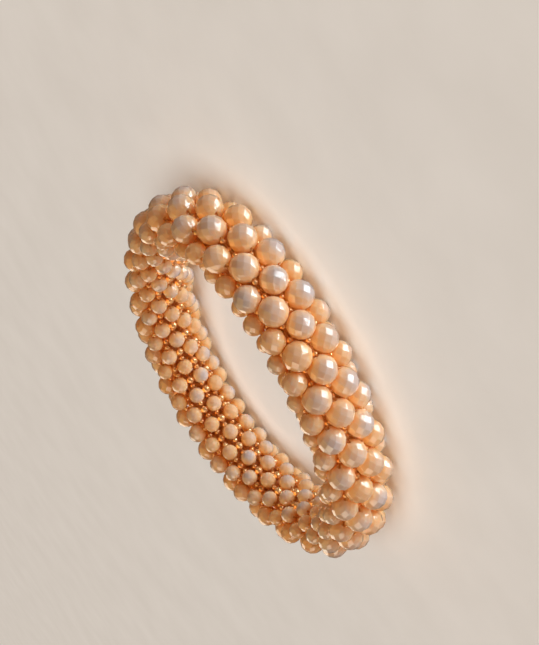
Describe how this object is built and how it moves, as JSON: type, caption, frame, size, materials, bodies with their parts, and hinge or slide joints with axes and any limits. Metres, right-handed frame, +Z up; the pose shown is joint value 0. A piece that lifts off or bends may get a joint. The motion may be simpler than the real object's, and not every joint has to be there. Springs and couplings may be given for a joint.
{
  "type": "faceted bead bracelet",
  "caption": "Slip-on bead bracelet: a tubular rope of round faceted glass beads, large on its outer face and small against the wrist, closed into an egg-shaped loop.",
  "frame": {"origin": "on the surface the bracelet lies on, under the middle of its box", "axes": "+Z up out of the loop, +X along the loop's longer side towards its nose, +Y across it"},
  "size_m": [0.081, 0.0694, 0.0144],
  "materials": {
    "bead_glass": "opal glass with a pearl lustre, facets polished, edges softened by fire polishing",
    "seed_bead_glass": "round glass seed beads, lustred",
    "thread": "waxed braided beading thread"
  },
  "bodies": {
    "root": {"crest_bead_01": "bead_glass", "crest_bead_02": "bead_glass", "crest_bead_03": "bead_glass", "crest_bead_04": "bead_glass", "crest_bead_05": "bead_glass", "crest_bead_06": "bead_glass", "crest_bead_07": "bead_glass", "crest_bead_08": "bead_glass", "crest_bead_09": "bead_glass", "crest_bead_10": "bead_glass", "crest_bead_11": "bead_glass", "crest_bead_12": "bead_glass", "crest_bead_13": "bead_glass", "crest_bead_14": "bead_glass", "crest_bead_15": "bead_glass", "crest_bead_16": "bead_glass", "crest_bead_17": "bead_glass", "crest_bead_18": "bead_glass", "crest_bead_19": "bead_glass", "crest_bead_20": "bead_glass", "crest_bead_21": "bead_glass", "crest_bead_22": "bead_glass", "crest_bead_23": "bead_glass", "crest_bead_24": "bead_glass", "crest_bead_25": "bead_glass", "crest_bead_26": "bead_glass", "crest_bead_27": "bead_glass", "crest_bead_28": "bead_glass", "crest_bead_29": "bead_glass", "crest_bead_30": "bead_glass", "crest_bead_31": "bead_glass", "crest_bead_32": "bead_glass", "crest_bead_33": "bead_glass", "crest_bead_34": "bead_glass", "crest_bead_35": "bead_glass", "crest_bead_36": "bead_glass", "crest_bead_37": "bead_glass", "crest_bead_38": "bead_glass", "crest_bead_39": "bead_glass", "crest_bead_40": "bead_glass", "bead_stretch_01": "bead_glass", "bead_stretch_02": "bead_glass", "bead_stretch_03": "bead_glass", "bead_stretch_04": "bead_glass", "bead_stretch_05": "bead_glass", "bead_stretch_06": "bead_glass", "bead_stretch_07": "bead_glass", "bead_stretch_08": "bead_glass", "bead_stretch_09": "bead_glass", "bead_stretch_10": "bead_glass"}
  },
  "joints": []
}
